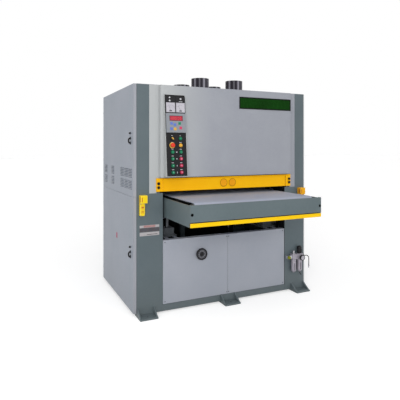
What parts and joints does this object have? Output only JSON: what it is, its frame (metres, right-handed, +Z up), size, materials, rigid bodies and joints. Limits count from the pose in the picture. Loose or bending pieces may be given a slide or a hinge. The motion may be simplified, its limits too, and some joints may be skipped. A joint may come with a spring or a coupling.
{
  "type": "wide belt sander",
  "caption": "Floor-standing wide belt sander with a hood on columns, rising feed table, guard, leaning console, side doors and dust ports.",
  "frame": {"origin": "on the floor, at the centre of the anchor bolts", "axes": "+X to the operator's right, +Y with the feed to the rear, +Z up"},
  "size_m": [1.95, 2.11, 2.21],
  "materials": {
    "frame_paint": "satin paint",
    "sheet_paint": "satin paint",
    "table_steel": "satin paint",
    "yellow_paint": "gloss paint",
    "switch_plastic": "moulded",
    "dark_plastic": "moulded",
    "port_plastic": "gloss",
    "controller_plastic": "moulded",
    "green_plastic": "gloss",
    "red_plastic": "gloss",
    "amber_plastic": "gloss",
    "lime_plastic": "gloss",
    "machined_steel": "machined",
    "casting": "painted casting",
    "motor_shell": "painted shell",
    "roller_shell": "turned",
    "drum_rubber": "ground rubber",
    "belt_rubber": "rough top",
    "black_rubber": "matt",
    "abrasive_cloth": "grit",
    "fitting_brass": "nickel plated"
  },
  "bodies": {
    "frame": {"base_frame": "frame_paint", "left_side_frame": "frame_paint", "right_side_frame": "frame_paint", "top_cover": "sheet_paint", "dust_ports": "port_plastic", "hood_front": "sheet_paint", "hood_cover": "sheet_paint", "hood_rear": "sheet_paint", "lower_panels": "sheet_paint", "right_covers": "sheet_paint", "console_box": "sheet_paint", "console_plate": "dark_plastic", "panel_meters": "dark_plastic", "thickness_controller": "controller_plastic", "pilot_lamps": "green_plastic", "guard_tabs": "yellow_paint", "guard_switches": "switch_plastic", "air_unit": "motor_shell", "air_gauge": "dark_plastic", "air_hose": "black_rubber", "hose_fitting": "fitting_brass", "head_frames": "casting", "abrasive_belts": "abrasive_cloth", "main_motors": "motor_shell", "drive_belts": "black_rubber", "lift_jacks": "casting"},
    "table": {"table_frame": "table_steel", "table_front": "table_steel", "feed_belt": "belt_rubber", "feed_gearmotor": "motor_shell", "lift_screws": "machined_steel"},
    "safety_flap": {"safety_flap": "yellow_paint"},
    "front_roller": {"front_roller": "roller_shell"},
    "rear_roller": {"rear_roller": "roller_shell"},
    "kick_bar": {"kick_bar": "yellow_paint"},
    "upper_door": {"upper_door": "sheet_paint"},
    "lower_door": {"lower_door": "sheet_paint"},
    "upper_latch": {"upper_latch": "dark_plastic"},
    "lower_latch": {"lower_latch": "dark_plastic"},
    "speed_handwheel": {"speed_handwheel": "dark_plastic"},
    "mode_selector": {"mode_selector": "amber_plastic"},
    "emergency_stop": {"emergency_stop": "red_plastic"},
    "table_up_button": {"table_up_button": "green_plastic"},
    "table_down_button": {"table_down_button": "green_plastic"},
    "front_head_start": {"front_head_start": "green_plastic"},
    "front_head_stop": {"front_head_stop": "red_plastic"},
    "rear_head_start": {"rear_head_start": "green_plastic"},
    "rear_head_stop": {"rear_head_stop": "red_plastic"},
    "feed_start": {"feed_start": "green_plastic"},
    "feed_stop": {"feed_stop": "red_plastic"},
    "regulator_knob": {"regulator_knob": "dark_plastic"},
    "shutoff_knob": {"shutoff_knob": "lime_plastic"},
    "front_drum": {"front_drum": "drum_rubber"},
    "rear_drum": {"rear_drum": "drum_rubber"},
    "front_tension_roller": {"front_tension_roller": "roller_shell"},
    "rear_tension_roller": {"rear_tension_roller": "roller_shell"},
    "front_motor_pulley": {"front_motor_pulley": "machined_steel"},
    "rear_motor_pulley": {"rear_motor_pulley": "machined_steel"},
    "infeed_roller": {"infeed_roller": "roller_shell"},
    "outfeed_roller": {"outfeed_roller": "roller_shell"}
  },
  "joints": [
    {"name": "table_lift", "type": "slide", "parent": "frame", "child": "table", "axis": [0, 0, 1], "range_m": [-0.115, 0.03]},
    {"name": "rear_roller_spin", "type": "hinge", "parent": "table", "child": "rear_roller", "pos_m": [0, 0.82, 0.9937], "axis": [1, 0, 0], "continuous": true},
    {"name": "front_roller_spin", "type": "hinge", "parent": "table", "child": "front_roller", "pos_m": [0, -1.11, 0.9937], "axis": [1, 0, 0], "continuous": true},
    {"name": "kick_bar_push", "type": "slide", "parent": "table", "child": "kick_bar", "axis": [0, 1, 0], "range_m": [0, 0.006], "stiffness_N_per_m": 3000},
    {"name": "flap_swing", "type": "hinge", "parent": "frame", "child": "safety_flap", "pos_m": [0, -0.6205, 1.222], "axis": [1, 0, 0], "range_deg": [0, 15]},
    {"name": "upper_door_swing", "type": "hinge", "parent": "frame", "child": "upper_door", "pos_m": [-0.937, 0.624, 1.639], "axis": [0, 0, -1], "range_deg": [0, 110]},
    {"name": "upper_latch_turn", "type": "hinge", "parent": "upper_door", "child": "upper_latch", "pos_m": [-0.951, -0.516, 1.639], "axis": [1, 0, 0], "range_deg": [0, 90]},
    {"name": "lower_door_swing", "type": "hinge", "parent": "frame", "child": "lower_door", "pos_m": [-0.937, 0.624, 0.611], "axis": [0, 0, -1], "range_deg": [0, 110]},
    {"name": "lower_latch_turn", "type": "hinge", "parent": "lower_door", "child": "lower_latch", "pos_m": [-0.951, -0.516, 0.611], "axis": [1, 0, 0], "range_deg": [0, 90]},
    {"name": "handwheel_turn", "type": "hinge", "parent": "frame", "child": "speed_handwheel", "pos_m": [-0.29, -0.614, 0.499], "axis": [0, 1, 0], "range_deg": [-720, 720]},
    {"name": "selector_turn", "type": "hinge", "parent": "frame", "child": "mode_selector", "pos_m": [-0.625, -0.71038, 1.58944], "axis": [0, 0.9954, -0.0954], "range_deg": [-45, 45]},
    {"name": "emergency_stop_push", "type": "slide", "parent": "frame", "child": "emergency_stop", "axis": [0, 0.9954, -0.0954], "range_m": [0, 0.005], "stiffness_N_per_m": 800},
    {"name": "table_up_button_push", "type": "slide", "parent": "frame", "child": "table_up_button", "axis": [0, 0.9954, -0.0954], "range_m": [0, 0.004], "stiffness_N_per_m": 500},
    {"name": "table_down_button_push", "type": "slide", "parent": "frame", "child": "table_down_button", "axis": [0, 0.9954, -0.0954], "range_m": [0, 0.004], "stiffness_N_per_m": 500},
    {"name": "front_head_start_push", "type": "slide", "parent": "frame", "child": "front_head_start", "axis": [0, 0.9954, -0.0954], "range_m": [0, 0.004], "stiffness_N_per_m": 500},
    {"name": "front_head_stop_push", "type": "slide", "parent": "frame", "child": "front_head_stop", "axis": [0, 0.9954, -0.0954], "range_m": [0, 0.004], "stiffness_N_per_m": 500},
    {"name": "rear_head_start_push", "type": "slide", "parent": "frame", "child": "rear_head_start", "axis": [0, 0.9954, -0.0954], "range_m": [0, 0.004], "stiffness_N_per_m": 500},
    {"name": "rear_head_stop_push", "type": "slide", "parent": "frame", "child": "rear_head_stop", "axis": [0, 0.9954, -0.0954], "range_m": [0, 0.004], "stiffness_N_per_m": 500},
    {"name": "feed_start_push", "type": "slide", "parent": "frame", "child": "feed_start", "axis": [0, 0.9954, -0.0954], "range_m": [0, 0.004], "stiffness_N_per_m": 500},
    {"name": "feed_stop_push", "type": "slide", "parent": "frame", "child": "feed_stop", "axis": [0, 0.9954, -0.0954], "range_m": [0, 0.004], "stiffness_N_per_m": 500},
    {"name": "regulator_turn", "type": "hinge", "parent": "frame", "child": "regulator_knob", "pos_m": [0.842, -0.643, 0.42], "axis": [0, 0, 1], "range_deg": [-540, 540]},
    {"name": "shutoff_turn", "type": "hinge", "parent": "frame", "child": "shutoff_knob", "pos_m": [0.69, -0.661, 0.366], "axis": [0, 1, 0], "range_deg": [0, 90]},
    {"name": "front_drum_spin", "type": "hinge", "parent": "frame", "child": "front_drum", "pos_m": [0, -0.15, 1.1878], "axis": [1, 0, 0], "continuous": true},
    {"name": "front_tension_spin", "type": "hinge", "parent": "frame", "child": "front_tension_roller", "pos_m": [0, -0.15, 1.9022], "axis": [1, 0, 0], "continuous": true},
    {"name": "front_motor_spin", "type": "hinge", "parent": "frame", "child": "front_motor_pulley", "pos_m": [0.8, -0.22, 0.179], "axis": [1, 0, 0], "continuous": true},
    {"name": "rear_drum_spin", "type": "hinge", "parent": "frame", "child": "rear_drum", "pos_m": [0, 0.35, 1.1878], "axis": [1, 0, 0], "continuous": true},
    {"name": "rear_tension_spin", "type": "hinge", "parent": "frame", "child": "rear_tension_roller", "pos_m": [0, 0.35, 1.9022], "axis": [1, 0, 0], "continuous": true},
    {"name": "rear_motor_spin", "type": "hinge", "parent": "frame", "child": "rear_motor_pulley", "pos_m": [0.8, 0.26, 0.179], "axis": [1, 0, 0], "continuous": true},
    {"name": "infeed_roller_spin", "type": "hinge", "parent": "frame", "child": "infeed_roller", "pos_m": [0, -0.35, 1.126], "axis": [1, 0, 0], "continuous": true},
    {"name": "outfeed_roller_spin", "type": "hinge", "parent": "frame", "child": "outfeed_roller", "pos_m": [0, 0.55, 1.126], "axis": [1, 0, 0], "continuous": true}
  ],
  "couplings": [
    {"joint": "front_roller_spin", "follows": "rear_roller_spin", "ratio": 1},
    {"joint": "front_tension_spin", "follows": "front_drum_spin", "ratio": 1.5},
    {"joint": "front_motor_spin", "follows": "front_drum_spin", "ratio": 0.8},
    {"joint": "rear_tension_spin", "follows": "rear_drum_spin", "ratio": 1.5},
    {"joint": "rear_motor_spin", "follows": "rear_drum_spin", "ratio": 0.8}
  ]
}
